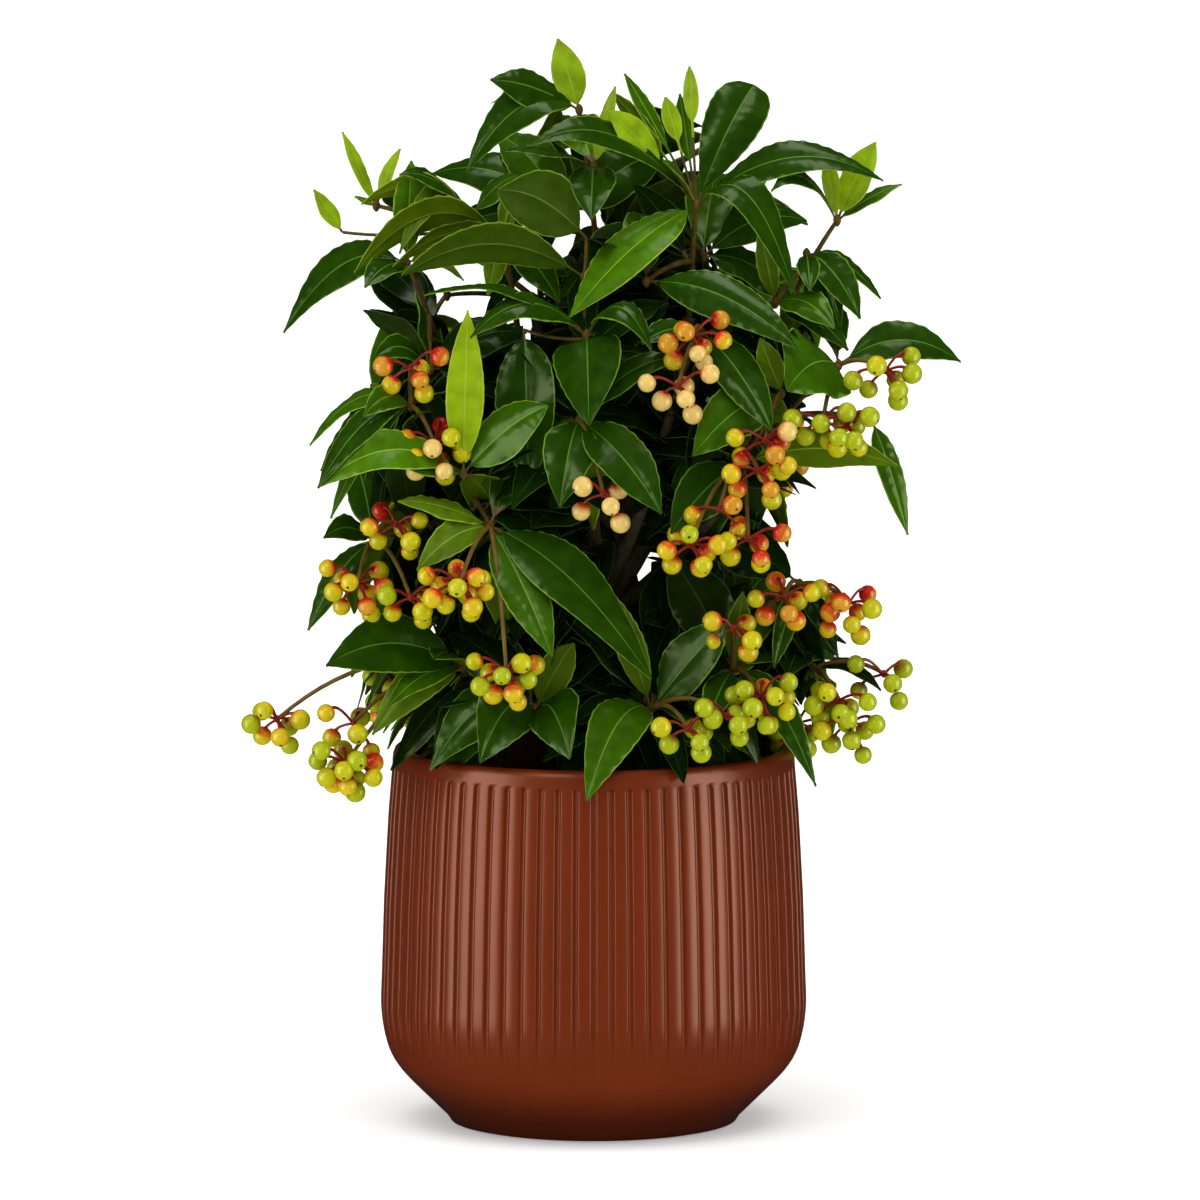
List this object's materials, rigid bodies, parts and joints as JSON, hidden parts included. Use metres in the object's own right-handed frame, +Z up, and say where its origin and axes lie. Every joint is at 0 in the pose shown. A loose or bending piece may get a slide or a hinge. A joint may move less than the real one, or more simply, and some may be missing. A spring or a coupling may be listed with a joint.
{
  "type": "potted coral berry",
  "caption": "Compact evergreen shrub with glossy wavy-edged leaves and hanging bunches of berries, in a round ribbed pot with a bevelled foot.",
  "frame": {"origin": "centre of the pot's flat underside", "axes": "+Z up, +X to the viewer's right, -Y towards the viewer of the picture"},
  "size_m": [0.295, 0.2176, 0.46],
  "materials": {
    "pot": "satin glaze",
    "potting_mix": "matte",
    "bark": "matte",
    "foliage": "glossy"
  },
  "bodies": {
    "root": {"pot": "pot", "potting_mix": "potting_mix", "trunk": "bark", "bough_top": "bark", "bough_upper_right": "bark", "bough_upper_left": "bark", "bough_right_shoulder": "bark", "bough_left_shoulder": "bark", "bough_front": "bark", "bough_left": "bark", "bough_right": "bark", "bough_inner_right": "bark", "bough_low_right": "bark", "bough_low_front": "bark", "bough_low_left": "bark", "bough_back_low_right": "bark", "bough_back_low": "bark", "bough_back_low_left": "bark", "bough_right_side": "bark", "bough_back_right": "bark", "bough_back_left": "bark", "bough_left_side": "bark", "bough_back_upper_right": "bark", "bough_back_upper_left": "bark", "bough_back_top": "bark", "foliage_top": "foliage", "foliage_upper_right": "foliage", "foliage_right_shoulder": "foliage", "foliage_upper_left": "foliage", "foliage_left_shoulder": "foliage", "foliage_front": "foliage", "foliage_middle": "foliage", "foliage_left": "foliage", "foliage_left_middle": "foliage", "foliage_left_low": "foliage", "foliage_right": "foliage", "foliage_right_middle": "foliage", "foliage_inner_right": "foliage", "foliage_low_right": "foliage", "foliage_low_front": "foliage", "foliage_low_left": "foliage", "foliage_back_low_right": "foliage", "foliage_back_low": "foliage", "foliage_back_low_left": "foliage", "foliage_right_side": "foliage", "foliage_back_right": "foliage", "foliage_back_left": "foliage", "foliage_left_side": "foliage", "foliage_back_upper_right": "foliage", "foliage_back_upper_left": "foliage", "foliage_back_top": "foliage"}
  },
  "joints": []
}
